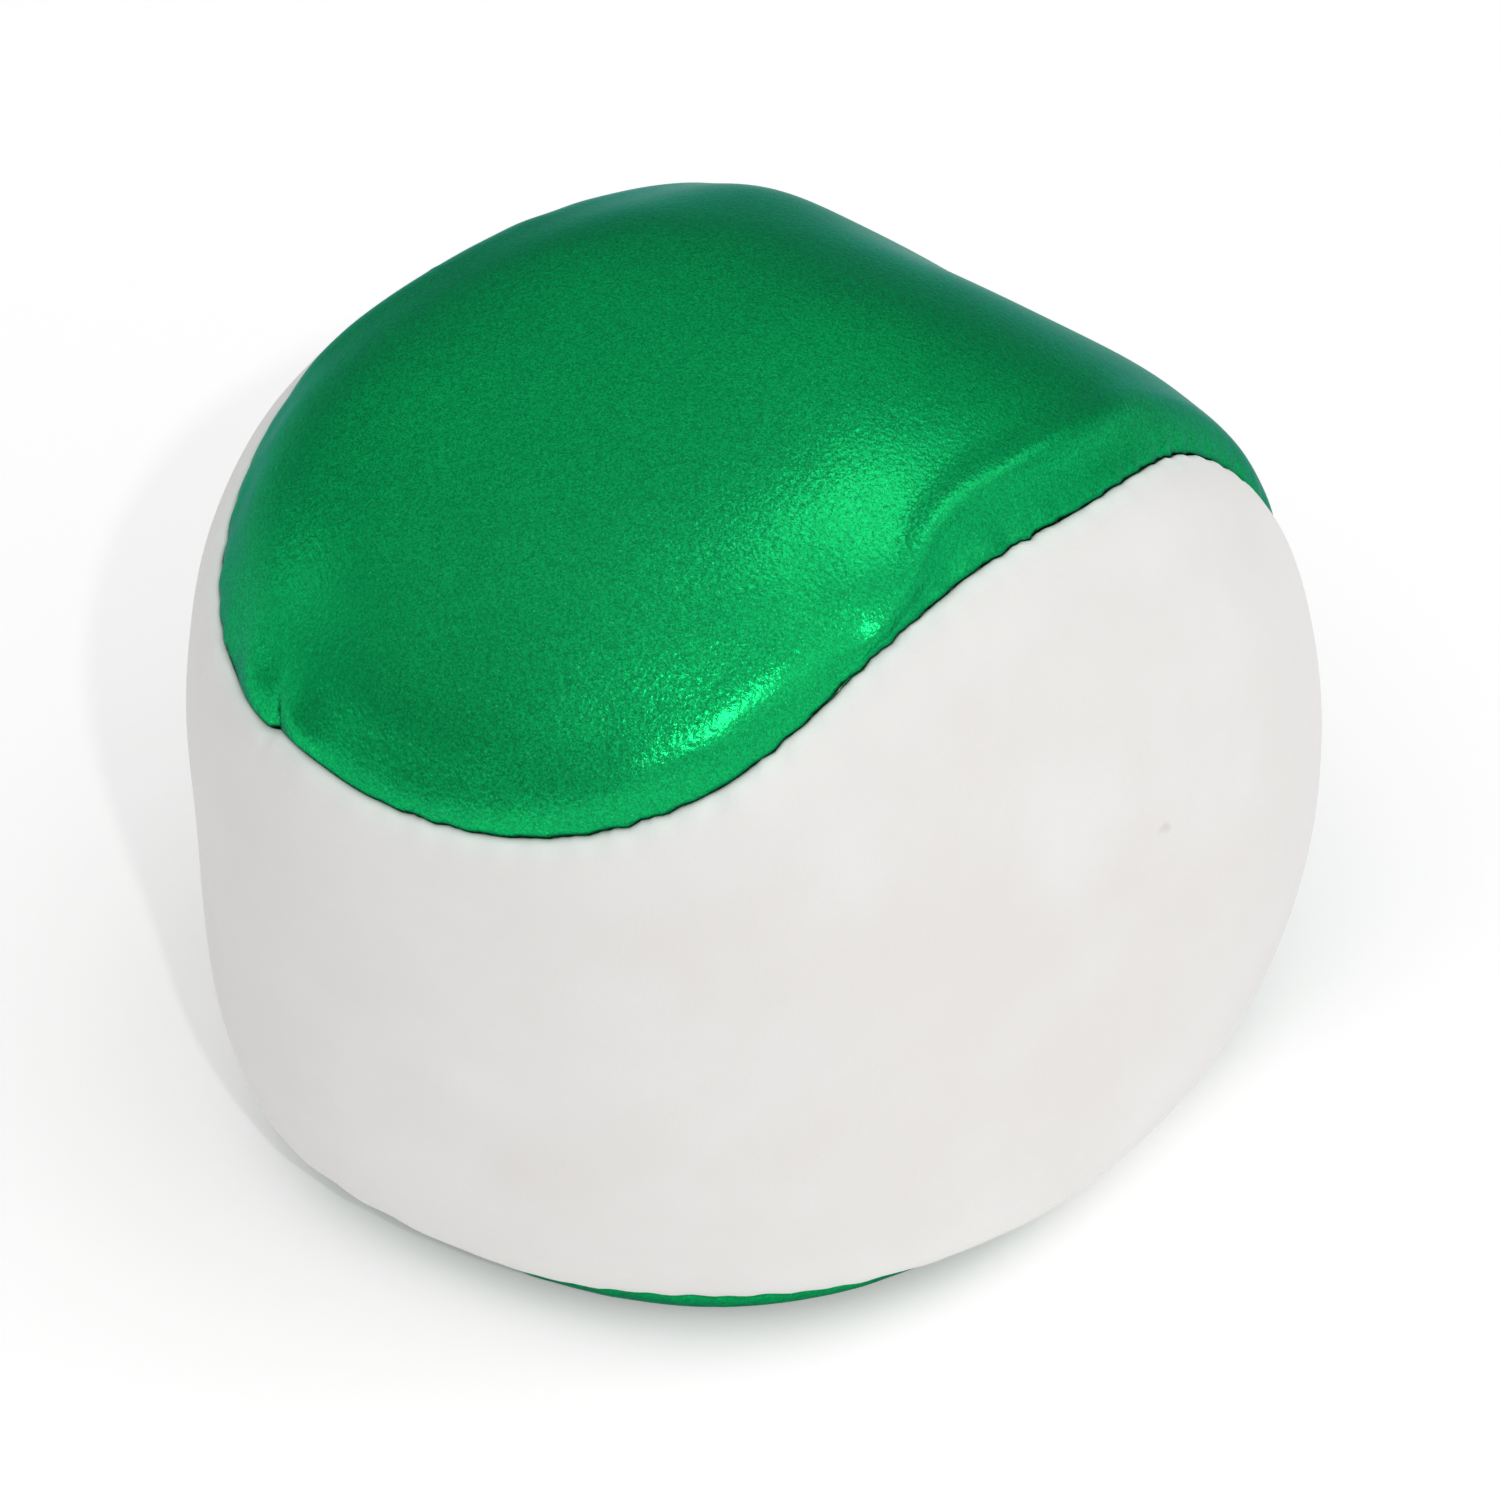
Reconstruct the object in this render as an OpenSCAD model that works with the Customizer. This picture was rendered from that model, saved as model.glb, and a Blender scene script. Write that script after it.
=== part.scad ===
// Juggling ball: a two-colour sewn bag of plastic granules.
// Two equal oblong panels of coated leather cloth wrap round each other like the
// two halves of a tennis ball cover. Green goes over the top, down the back and
// under the base; white goes round the front from cheek to cheek.
// Millimetres. +X right cheek, -Y front, +Z up, resting face at z = 0.

/* [Bag] */
// Width across the two white cheeks
body_width = 58; // [48:1:76]
// Depth from front to back
body_depth = 64.5; // [50:0.5:80]
// Height before the base settles flat
body_height = 57; // [50:0.5:74]
// How far the round underside settles flat
base_settling = 6; // [2.5:0.5:10.5]
// Height of the rounding where the flat base turns up
base_rounding = 4.5; // [4:0.5:8]
// How strongly the two folded panels show in the shape (2 is a plain ball)
panel_shape = 3.2; // [2:0.1:4]
// How much wider the settled lower half is than the upper half
sag = 0.12; // [0:0.01:0.2]
// Forward lean of the panels, in degrees
lean = 10; // [0:1:20]

/* [Seam course] */
// Narrowing of the white front by the top of the green panel
top_waist = 0.48; // [0.3:0.01:0.6]
// Narrowing of the white front by the underside of the green panel
base_waist = 0.62; // [0.4:0.01:0.8]
// Narrowing of the green back by the two white cheeks
back_waist = 0.3; // [0.2:0.01:0.5]

/* [Leather cloth] */
// Thickness of the coated face layer
face_thickness = 0.5; // [0.4:0.05:1]
// Thickness of the knitted backing layer
backing_thickness = 0.6; // [0.4:0.05:1]
// Space between face layer and backing
bond_gap = 0.05; // [0.05:0.05:0.2]
// Depth of the turned-in seam edge
seam_allowance = 3.5; // [2.5:0.5:5]
// Depth of the groove along the seam
groove_depth = 0.8; // [0.4:0.1:1.2]

/* [Sewing] */
// Diameter of the sewing thread
thread_diameter = 0.28; // [0.2:0.02:0.4]
// Space round each thread in the seam
thread_clearance = 0.05; // [0.03:0.01:0.1]
// Length of one machine stitch
stitch_length = 2.2; // [1.8:0.1:3]
// Depth of the stitch line below the bottom of the groove
stitch_depth = 0.9; // [0.6:0.1:1.6]
// Middle of the filling opening along the seam, in degrees left of the green front tip
opening_place = 10; // [0:1:60]
// Length of the filling opening, sewn shut by hand
opening_length = 16; // [12:1:24]
// Length of one hand stitch
hand_stitch_length = 1.6; // [1.2:0.1:2.4]

/* [Filling] */
// Space between the backing and the granules
fill_clearance = 0.3; // [0.2:0.1:0.8]

/* [Hidden] */
// squares across a panel; a panel has three times as many along
across = 14;
along = 3 * across;
tiny = 0.001;
// height over which the narrowing changes from the base value to the top value
waist_blend = 0.7;
half = [body_width, body_depth, body_height] / 2;
// middle of the bag above the flat of its base
rest_height = half.z - base_settling;
// middle of the gap between the turned-in edges that holds two threads side by side
seam_gap = 2 * thread_diameter + 3 * thread_clearance;
thread_offset = (thread_diameter + thread_clearance) / 2;

// ---- where a point of a flat panel lies --------------------------------------------
// The flat panel is 2 wide: a straight stretch 180 long with two half-round ends.
// a runs across it, b along it in degrees; 1 of width is one radian of length.
radian = 180 / PI;
function unit(v) = v / norm(v);
// The squares get narrower towards the edge, and each half-round end is rings of them.
function spread(x) = x * (1.1 - 0.1 * x * x);
function end_step(r) = (r < along / 2 ? across / 2 - r : r - 5 * across / 2) / (across / 2);
function end_ring(x, y) = spread(max(abs(x), y));
function end_angle(x, y) = abs(x) < y ? 90 - 45 * x / y : x > 0 ? 45 * y / x : 180 + 45 * y / x;
function grid_a(r, c) = let (x = 2 * c / across - 1, y = end_step(r))
    y <= 0 ? spread(x) : end_ring(x, y) * cos(end_angle(x, y));
function grid_b(r, c) = let (x = 2 * c / across - 1, y = end_step(r))
    y <= 0 ? (r - across / 2) * 90 / across
    : r < along / 2 ? -radian * end_ring(x, y) * sin(end_angle(x, y))
    : 180 + radian * end_ring(x, y) * sin(end_angle(x, y));

// the flat panel folded to a C, then turned for the white one
function folded(a, b) = let (t = min(180, max(0, b)), over = (b < 0 ? b : b > 180 ? 180 - b : 0))
    [a, sin(t) + over / radian, cos(t)];
function placed(a, b, white) = let (p = folded(a, b)) white ? [p.z, -p.y, p.x] : p;

// the folded shape blown up by its filling, leaned and settled on its base
function eased(x) = let (t = min(1, max(0, x))) t * t * (3 - 2 * t);
function bulge(d) = pow(pow(d.x * d.x + pow(min(d.y, 0), 2), panel_shape / 2)
    + pow(d.z * d.z + pow(max(d.y, 0), 2), panel_shape / 2), -1 / panel_shape);
function filled(p) =
    let (d = p / norm(p),
         waist = base_waist + (top_waist - base_waist) * eased(0.5 + d.z / waist_blend),
         w = unit([d.x * (1 - back_waist * max(0, d.y)), d.y, d.z * (1 - waist * max(0, -d.y))]),
         s = bulge(w),
         e = [s * w.x * half.x, s * (w.y * cos(lean) - w.z * sin(lean)) * half.y,
              s * (w.y * sin(lean) + w.z * cos(lean)) * half.z],
         k = 1 - sag * e.z / half.z)
    [e.x * k, e.y * k, settled(e.z)];
function settled(z) = let (t = (z + rest_height) / base_rounding)
    t > 1 ? z : -rest_height + (t < -1 ? 0 : base_rounding * pow(t + 1, 2) / 4);

// the whole bag is centred over the origin with its base at z = 0
rough = [for (w = [false, true]) for (r = [0 : along]) for (c = [0 : across])
    filled(placed(grid_a(r, c), grid_b(r, c), w))];
function middle(i) = (min([for (p = rough) p[i]]) + max([for (p = rough) p[i]])) / 2;
centre = [-middle(0), -middle(1), -min([for (p = rough) p.z])];
function skin(a, b, white) = filled(placed(a, b, white)) + centre;

// directions at a point: out of the surface, and at the seam down between the panels and,
// square to that, from the seam towards the middle of the panel
function outward(a, b, white) = unit(cross(
    skin(a + tiny, b, white) - skin(a - tiny, b, white),
    skin(a, b + tiny * radian, white) - skin(a, b - tiny * radian, white)));
// where a seam point of one panel lies on the other panel
function unfolded(p) = [p.x, p.y > 0 ? atan2(p.y, p.z) : p.z > 0 ? p.y * radian : 180 - p.y * radian];
function across_seam(a, b, white) = let (p = placed(a, b, white))
    unfolded(white ? p : [p.z, -p.y, p.x]);
function into_seam(a, b, white) = let (o = across_seam(a, b, white))
    -unit(outward(a, b, white) + outward(o[0], o[1], !white));
function off_seam(a, b, white) =
    let (e = b < 0 ? [a, b / radian] : b > 180 ? [a, (b - 180) / radian] : [a, 0], t = e / norm(e),
         s = skin(a - tiny * t.x, b - tiny * t.y * radian, white) - skin(a, b, white),
         d = into_seam(a, b, white))
    unit(s - d * (s * d));

function on_edge(r, c) = r == 0 || c == 0 || r == along || c == across;
// a point of a layer: depth below the surface, or at the edge, aside and down from the seam
function layer_point(r, c, white, depth, aside, down) =
    let (a = grid_a(r, c), b = grid_b(r, c), p = skin(a, b, white))
    on_edge(r, c) ? p + off_seam(a, b, white) * aside + into_seam(a, b, white) * down
    : p - outward(a, b, white) * depth;
function layer(white, depth, aside, down) = [for (r = [0 : along]) for (c = [0 : across])
    layer_point(r, c, white, depth, aside, down)];
// the row and column of each point round a panel, a number of rings in from its edge
function round_panel(ring) = let (r_end = along - ring, c_end = across - ring) concat(
    [for (r = [ring : r_end - 1]) [r, ring]], [for (c = [ring : c_end - 1]) [r_end, c]],
    [for (r = [r_end : -1 : ring + 1]) [r, c_end]], [for (c = [c_end : -1 : ring + 1]) [ring, c]]);
rim = round_panel(0);
rims = len(rim);
function edge_ring(white, aside, down) = [for (e = rim)
    layer_point(e[0], e[1], white, 0, aside, down)];
function place(r, c) = r * (across + 1) + c;
layer_size = (along + 1) * (across + 1);

// faces, each square split in two, the same way on all four quarters of a panel
function split(q, flip) = flip ? [[q[0], q[1], q[2]], [q[0], q[2], q[3]]]
    : [[q[0], q[2], q[1]], [q[0], q[3], q[2]]];
function square_faces(r, c, q, flip) = (c < across / 2) == (r < along / 2)
    ? split(q, flip) : split([q[1], q[2], q[3], q[0]], flip);
function sheet_faces(start, flip, ring = 0) =
    [for (r = [ring : along - 1 - ring]) for (c = [ring : across - 1 - ring])
    each square_faces(r, c, [start + place(r, c), start + place(r, c + 1),
        start + place(r + 1, c + 1), start + place(r + 1, c)], flip)];
function band_faces(upper, lower) = [for (k = [0 : len(upper) - 1]) let (n = (k + 1) % len(upper))
    each split([upper[k], upper[n], lower[n], lower[k]], false)];
function rim_of(start, ring = 0) = [for (e = round_panel(ring)) start + place(e[0], e[1])];
function ring_of(start) = [for (k = [0 : rims - 1]) start + k];

// ---- the layers of a panel -----------------------------------------------------------
face_aside = seam_gap / 2;
back_aside = face_aside + face_thickness;
lining_depth = face_thickness + bond_gap;
fill_depth = lining_depth + backing_thickness + fill_clearance;
allowance_end = groove_depth + seam_allowance;
// the granules keep clear of the turned-in edges, as deep as those reach
channel_depth = allowance_end + fill_clearance;

// coated face layer with its edge turned in all the way round
module face_panel(white) {
    outer = layer(white, 0, face_aside, groove_depth);
    inner = layer(white, face_thickness, back_aside, groove_depth + face_thickness);
    low_outer = edge_ring(white, face_aside, allowance_end);
    low_inner = edge_ring(white, back_aside, allowance_end);
    ends = 2 * layer_size;
    polyhedron(concat(outer, inner, low_outer, low_inner), concat(
        sheet_faces(0, false), sheet_faces(layer_size, true),
        band_faces(rim_of(0), ring_of(ends)),
        band_faces(ring_of(ends), ring_of(ends + rims)),
        band_faces(ring_of(ends + rims), rim_of(layer_size))));
}

// knitted backing inside the face layer, trimmed one ring short of the turned-in edge
module backing(white) {
    outer = layer(white, lining_depth, 0, lining_depth);
    inner = layer(white, lining_depth + backing_thickness, 0, lining_depth + backing_thickness);
    polyhedron(concat(outer, inner), concat(
        sheet_faces(0, false, 1), sheet_faces(layer_size, true, 1),
        band_faces(rim_of(0, 1), rim_of(layer_size, 1))));
}

// ---- the seam course ------------------------------------------------------------------
// It follows the straight edges between the points of the green panel's rim, and u counts
// once round in degrees, 180 for each side and each end; the green front tip is at 630.
function seam_a(u) = u < 180 ? -1 : u < 360 ? -cos(u - 180) : u < 540 ? 1 : cos(u - 540);
function seam_b(u) = u < 180 ? u : u < 360 ? 180 + radian * sin(u - 180)
    : u < 540 ? 540 - u : -radian * sin(u - 540);
course = [for (i = [0 : rims]) let (u = 720 * (i % rims) / rims, a = seam_a(u), b = seam_b(u))
    [skin(a, b, false), off_seam(a, b, false), into_seam(a, b, false)]];
function lengths(i = 1, sum = 0, list = [0]) = i > rims ? list
    : let (s = sum + norm(course[i][0] - course[i - 1][0])) lengths(i + 1, s, concat(list, [s]));
run = lengths();
seam_length = run[rims];
to_step = [for (i = [0 : rims]) [run[i], i]];
to_run = [for (i = [0 : rims]) [720 * i / rims, run[i]]];
function turned(s) = s - seam_length * floor(s / seam_length);
function between(i, k) = let (f = floor(i), n = min(f + 1, rims))
    course[f][k] * (1 - i + f) + course[n][k] * (i - f);
// a point in the seam gap at a length along it, aside to the green and down from the groove
function in_seam(s, aside, down) = let (i = lookup(turned(s), to_step))
    between(i, 0) + between(i, 1) * aside + between(i, 2) * (groove_depth + down);
function down_at(s) = between(lookup(turned(s), to_step), 2);
opening_start = lookup(630 + opening_place, to_run) - opening_length / 2;

// a thread swept along points, four-sided, with its radius at each point
function ring_points(path, downs, i, radius) =
    let (n = len(path), t = unit(path[min(n - 1, i + 1)] - path[max(0, i - 1)]),
         v = unit(cross(t, downs[i])), w = cross(v, t))
    [for (k = [0 : 3]) path[i] + (v * cos(90 * k + 45) + w * sin(90 * k + 45)) * radius];
module thread(path, downs, radii) {
    n = len(path);
    points = [for (i = [0 : n - 1]) each ring_points(path, downs, i, radii[i])];
    sides = [for (i = [0 : n - 2]) for (k = [0 : 3]) let (m = (k + 1) % 4)
        each split([4 * i + k, 4 * i + m, 4 * i + 4 + m, 4 * i + 4 + k], true)];
    last = 4 * (n - 1);
    polyhedron(points, concat(sides, [[0, 2, 1], [0, 3, 2]],
        [[last, last + 1, last + 2], [last, last + 2, last + 3]]));
}

thread_radius = thread_diameter / 2;
machine_length = seam_length - opening_length;
stitches = round(machine_length / stitch_length);
machine_step = machine_length / stitches / 2;
// machine threads rise and dip once a stitch and end beside the opening
module machine_thread(side, first) {
    places = [for (i = [1 : 2 * stitches - 1])
        opening_start + opening_length + i * machine_step];
    path = [for (i = [0 : len(places) - 1]) in_seam(places[i], side * thread_offset,
        stitch_depth + ((i + first) % 2 == 0 ? thread_diameter : 0))];
    thread(path, [for (s = places) down_at(s)], [for (s = places) thread_radius]);
}

// ---- the pieces -------------------------------------------------------------------------
module green_panel() color([0.05, 0.55, 0.3]) face_panel(false);
module white_panel() color([0.9, 0.9, 0.88]) face_panel(true);
module green_backing() color([0.75, 0.78, 0.72]) backing(false);
module white_backing() color([0.82, 0.8, 0.76]) backing(true);
module needle_thread() color([0.95, 0.95, 0.9]) machine_thread(1, 0);
module bobbin_thread() color([0.8, 0.85, 0.8]) machine_thread(-1, 1);
// ladder stitches from side to side of the opening, with a knot at each end
module closing_thread() {
    count = 2 * round(opening_length / hand_stitch_length) - 2;
    step = opening_length / (count + 2);
    swing = seam_gap / 2 - thread_clearance - thread_radius;
    knot_radius = seam_gap / 2 - thread_clearance;
    places = [for (i = [0 : count]) opening_start + (i + 1) * step];
    path = [for (i = [0 : count]) in_seam(places[i],
        (i <= 1 || i >= count - 1) ? 0 : (i % 2 == 0 ? swing : -swing), stitch_depth)];
    color([0.35, 0.2, 0.15]) thread(path, [for (s = places) down_at(s)],
        [for (i = [0 : count]) (i == 1 || i == count - 1) ? knot_radius : thread_radius]);
}
// the mass of loose granules that fills the bag, with a channel along the seam
function by_edge(r, c) = min(r, c, along - r, across - c) <= 2;
function fill_layer(white) = [for (r = [0 : along]) for (c = [0 : across])
    layer_point(r, c, white, by_edge(r, c) ? channel_depth : fill_depth, 0, channel_depth)];
module granules() {
    green = fill_layer(false);
    white = fill_layer(true);
    green_rim = rim_of(0);
    function joined(r, c) = let (p = white[place(r, c)])
        !on_edge(r, c) ? layer_size + place(r, c)
        : [for (k = green_rim) if (norm(green[k] - p) < 0.01) k][0];
    white_faces = [for (r = [0 : along - 1]) for (c = [0 : across - 1])
        each square_faces(r, c,
            [joined(r, c), joined(r, c + 1), joined(r + 1, c + 1), joined(r + 1, c)], false)];
    color([0.9, 0.85, 0.6])
        polyhedron(concat(green, white), concat(sheet_faces(0, false), white_faces));
}

green_panel();
white_panel();
green_backing();
white_backing();
needle_thread();
bobbin_thread();
closing_thread();
granules();
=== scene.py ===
import math

import bmesh
import bpy
import numpy as np
from mathutils import Matrix, Vector
from mathutils.bvhtree import BVHTree


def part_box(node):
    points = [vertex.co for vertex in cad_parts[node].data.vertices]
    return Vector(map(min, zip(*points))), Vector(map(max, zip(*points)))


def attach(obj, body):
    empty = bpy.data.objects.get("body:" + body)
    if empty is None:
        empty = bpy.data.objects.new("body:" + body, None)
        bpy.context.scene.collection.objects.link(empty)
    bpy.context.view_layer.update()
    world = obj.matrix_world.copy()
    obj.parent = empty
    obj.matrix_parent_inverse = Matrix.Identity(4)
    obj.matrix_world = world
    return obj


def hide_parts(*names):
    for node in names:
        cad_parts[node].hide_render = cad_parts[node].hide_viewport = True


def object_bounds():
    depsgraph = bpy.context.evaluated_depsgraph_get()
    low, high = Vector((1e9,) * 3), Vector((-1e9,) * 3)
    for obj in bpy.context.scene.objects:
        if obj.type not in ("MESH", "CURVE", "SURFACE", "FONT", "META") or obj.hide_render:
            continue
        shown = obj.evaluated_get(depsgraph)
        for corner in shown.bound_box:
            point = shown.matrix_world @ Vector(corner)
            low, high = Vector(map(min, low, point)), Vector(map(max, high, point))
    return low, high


# A sewn juggling ball: two oblong panels of coated leather cloth wrapped round each other
# like the halves of a tennis ball cover, filled with plastic granules and sewn shut by hand.
# Metres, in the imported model's frame: +X right cheek, -Y front, +Z up, base at z = 0.

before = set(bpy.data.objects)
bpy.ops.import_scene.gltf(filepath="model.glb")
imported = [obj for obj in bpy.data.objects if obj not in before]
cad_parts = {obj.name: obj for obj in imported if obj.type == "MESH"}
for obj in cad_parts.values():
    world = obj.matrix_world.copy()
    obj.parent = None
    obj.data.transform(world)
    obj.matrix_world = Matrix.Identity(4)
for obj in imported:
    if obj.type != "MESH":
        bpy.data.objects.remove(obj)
CAD_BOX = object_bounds()

MM = 0.001
PI = math.pi

# ---- sizes ---------------------------------------------------------------------------
HALF_SIZE = np.array([29.0, 32.25, 28.5]) * MM  # middle of the bag to each side, unsettled
BASE_SETTLING = 6.0 * MM  # how far the round underside settles flat
REST_HEIGHT = HALF_SIZE[2] - BASE_SETTLING  # middle of the bag above the surface under it
BASE_ROUNDING = 4.5 * MM
PANEL_SHAPE = 3.2  # how strongly the two folded panels show, 2 is a plain ball
SAG = 0.12
LEAN = math.radians(10)
TOP_WAIST = 0.48
BASE_WAIST = 0.62
BACK_WAIST = 0.30
WAIST_BLEND = 0.7

FACE_THICKNESS = 0.5 * MM
BOND_GAP = 0.05 * MM
BACKING_THICKNESS = 0.6 * MM
SEAM_ALLOWANCE = 3.5 * MM
SEAM_GAP = 0.71 * MM  # between the turned-in edges, below the mouth of the seam
MOUTH = 0.02 * MM  # the seam's mouth between two stitches
STITCH_MOUTH = 0.06 * MM  # the seam's mouth where a stitch holds it
ROLL_WIDTH = 4.2 * MM  # how far from the seam the leather starts to roll in
ROLL_DEPTH = 0.5 * MM
LIP_WIDTH = 0.5 * MM  # the tighter roll right at the seam
LIP_DEPTH = 0.16 * MM

THREAD = 0.28 * MM
THREAD_STEP = 0.13 * MM  # between two rings of points along a machine thread
THREAD_SIDES = 8
STITCH_LENGTH = 2.2 * MM
HAND_STITCH = 1.6 * MM
HAND_THREAD_STEPS = 480
OPENING_PLACE = 640.0  # middle of the filling opening, in degrees along the seam
OPENING_LENGTH = 16.0 * MM
GRANULE = 3.1 * MM
FLAKE = 0.085 * MM  # mica flakes in the green coat

ACROSS = 112  # squares across a leather panel, with three times as many along
BACKING_ACROSS = 44

# Marks that handling has pressed into the filled bag: azimuth from the front towards the
# right cheek, height above the horizon, how far it stands out in mm, and its spread.
PRESS_MARKS = [
    (138, 2, -0.6, 0.34), (152, 21, 0.6, 0.34), (171, 39, -0.4, 0.34),
    (-84, 46, -0.7, 0.34), (-61, 30, 0.45, 0.34), (-30, -8, -0.4, 0.34),
    (-14, -26, 0.9, 0.34), (8, -42, -0.75, 0.34), (41, -50, 0.5, 0.34),
    (104, -34, 0.25, 0.34), (-140, 52, 0.45, 0.16), (-117, 51, -0.6, 0.22),
    (-164, 49, -0.35, 0.2), (157, 27, 0.45, 0.22),
]
# Shallow folds in the green leather that run off the seam: degrees along the seam, depth,
# width and reach in mm, and how far the fold leans along the seam for each mm of reach.
SEAM_FOLDS = [
    (600, 0.10, 2.5, 6.0, -0.4), (655, 0.10, 1.6, 5.0, 0.3), (676, 0.16, 1.8, 5.0, 0.3),
    (520, 0.10, 2.0, 4.0, 0.2),
]
# Between these places the green leather falls away to the seam with no bolster beside it.
FALL_START = 588.0
FALL_END = 706.0
FALL_FADE = 9.0 * MM
SLACK_PLACE = 557.0  # where the slack fold leaves the seam, in degrees along it
SLACK_RUN = 7.0 * MM  # length of seam in which the fold reaches its full distance from it
# Where the sewn seam wanders: degrees along it, and mm towards the white panel.
SEAM_WANDER = [
    (210, -1.0), (240, -1.1), (270, -0.9), (288, -1.1), (312, 0.7), (335, 0.5), (362, -1.7),
    (466, -1.0), (488, -0.6), (510, 1.4), (532, 0.9), (554, -0.75), (576, 0.7), (598, 0.8),
    (620, 0.0), (642, -0.3), (664, 1.0), (686, 0.8),
]
WANDER_SPREAD = 0.25


# ---- the shape of the filled bag ---------------------------------------------------------
def unit(v):
    return v / np.linalg.norm(v, axis=-1, keepdims=True)


def ease(x):
    x = np.clip(x, 0.0, 1.0)
    return x * x * (3 - 2 * x)


def folded(across, along):
    """A point of the flat green panel once it is folded to a C. The panel is 2 wide, its straight
    stretch runs from 0 to pi, and a half-round end lies past each end of that."""
    bend = np.clip(along, 0, PI)
    over = np.where(along < 0, along, np.where(along > PI, PI - along, 0.0))
    return np.stack([across, np.sin(bend) + over, np.cos(bend)], -1)


def turned(p):
    """The white panel lies the other way round: through the front, from cheek to cheek."""
    return np.stack([p[..., 2], -p[..., 1], p[..., 0]], -1)


def seam_place(u):
    """The seam's place on the folded pattern, u degrees along it: 180 for each side and end."""
    u = np.mod(np.asarray(u, float), 720.0)
    t = np.radians(u)
    stretch = u // 180
    first_three = [stretch == 0, stretch == 1, stretch == 2]
    edge = np.ones_like(u)
    across = np.select(first_three, [-edge, np.cos(t), edge], np.cos(t - 3 * PI))
    along = np.select(first_three, [t, PI + np.sin(t - PI), 3 * PI - t], -np.sin(t - 3 * PI))
    return folded(across, along)


def seam_degrees(p):
    """The other way round: how far along the seam a point of the folded pattern lies."""
    x, y, z = p[..., 0], p[..., 1], p[..., 2]
    on_side = np.degrees(np.arctan2(np.maximum(y, 0), z))
    side = np.where(x < 0, on_side, 540 - on_side)
    top_end = 540 + np.degrees(np.arctan2(-y, x))
    low_end = 180 + np.degrees(np.arctan2(-y, -x))
    return np.where(y > 0, side, np.where(z > 0, top_end, low_end))


def direction(azimuth, height):
    a, h = math.radians(azimuth), math.radians(height)
    return np.array([math.sin(a) * math.cos(h), -math.cos(a) * math.cos(h), math.sin(h)])


def wandered(d):
    """Directions on the pattern, shifted where the seam wanders."""
    moved = d.copy()
    for place, towards_white in SEAM_WANDER:
        at = unit(seam_place(place))
        along = unit(seam_place(place + 0.5)) - unit(seam_place(place - 0.5))
        aside = unit(np.cross(at, along))
        near = np.exp(-((d - at) ** 2).sum(-1) / WANDER_SPREAD ** 2)
        moved += near[..., None] * aside * (towards_white * MM / HALF_SIZE[0])
    return unit(moved)


def filled(d):
    """Where the skin of the filled, leaning, settled bag lies in a direction of the pattern."""
    d = wandered(d)
    waist = BASE_WAIST + (TOP_WAIST - BASE_WAIST) * ease(0.5 + d[..., 2] / WAIST_BLEND)
    w = unit(np.stack([
        d[..., 0] * (1 - BACK_WAIST * np.maximum(0, d[..., 1])),
        d[..., 1],
        d[..., 2] * (1 - waist * np.maximum(0, -d[..., 1])),
    ], -1))
    x, y, z = w[..., 0], w[..., 1], w[..., 2]
    half = PANEL_SHAPE / 2
    around_x = (x * x + np.minimum(y, 0) ** 2) ** half
    around_z = (z * z + np.maximum(y, 0) ** 2) ** half
    reach = (around_x + around_z) ** (-1 / PANEL_SHAPE)
    leant = np.stack([
        x, y * math.cos(LEAN) - z * math.sin(LEAN), y * math.sin(LEAN) + z * math.cos(LEAN),
    ], -1)
    for azimuth, height, mm, spread in PRESS_MARKS:
        at = direction(azimuth, height)
        near = np.exp(-((leant - at) ** 2).sum(-1) / spread ** 2)
        reach = reach + near * (mm * MM / HALF_SIZE[0])
    p = leant * reach[..., None] * HALF_SIZE
    p[..., :2] *= (1 - SAG * p[..., 2:3] / HALF_SIZE[2])
    t = (p[..., 2] + REST_HEIGHT) / BASE_ROUNDING
    settled = np.where(t > 1, t, np.where(t < -1, 0, (t + 1) ** 2 / 4))
    p[..., 2] = BASE_ROUNDING * settled
    return p


def bag_middle():
    """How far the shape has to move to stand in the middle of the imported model's box."""
    turns, rises = np.meshgrid(np.linspace(0, 2 * PI, 181), np.linspace(-PI / 2, PI / 2, 91))
    d = np.stack([np.cos(turns) * np.cos(rises), np.sin(turns) * np.cos(rises), np.sin(rises)], -1)
    p = filled(d).reshape(-1, 3)
    middle = (p.min(0) + p.max(0)) / 2
    box = (np.array(CAD_BOX[0]) + np.array(CAD_BOX[1])) / 2
    return np.array([box[0] - middle[0], box[1] - middle[1], CAD_BOX[0][2]])


STAND = bag_middle()


def skin(d):
    return filled(d) + STAND


def outward(d):
    """The way out of the skin in a direction of the pattern."""
    spare = np.where(np.abs(d[..., 2:3]) < 0.9, np.array([0.0, 0.0, 1.0]), np.array([1.0, 0.0, 0.0]))
    e = unit(np.cross(spare, d))
    f = np.cross(d, e)
    step = 1e-4
    over_e = skin(unit(d + e * step)) - skin(unit(d - e * step))
    over_f = skin(unit(d + f * step)) - skin(unit(d - f * step))
    return unit(np.cross(over_e, over_f))


# ---- the seam ---------------------------------------------------------------------------
seam_steps = np.linspace(0, 720, 5761)
seam_points = skin(unit(seam_place(seam_steps)))
seam_lengths = np.r_[0, np.cumsum(np.linalg.norm(np.diff(seam_points, axis=0), axis=1))]
SEAM_LENGTH = seam_lengths[-1]
opening_middle = np.interp(OPENING_PLACE, seam_steps, seam_lengths)
opening_start = opening_middle - OPENING_LENGTH / 2
machine_length = SEAM_LENGTH - OPENING_LENGTH
STITCHES = round(machine_length / STITCH_LENGTH)
TUCK = opening_middle + 0.5 * MM


def length_at(degrees):
    return np.interp(degrees, seam_steps, seam_lengths)


def length_along(p):
    return np.interp(seam_degrees(p), seam_steps, seam_lengths)


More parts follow.
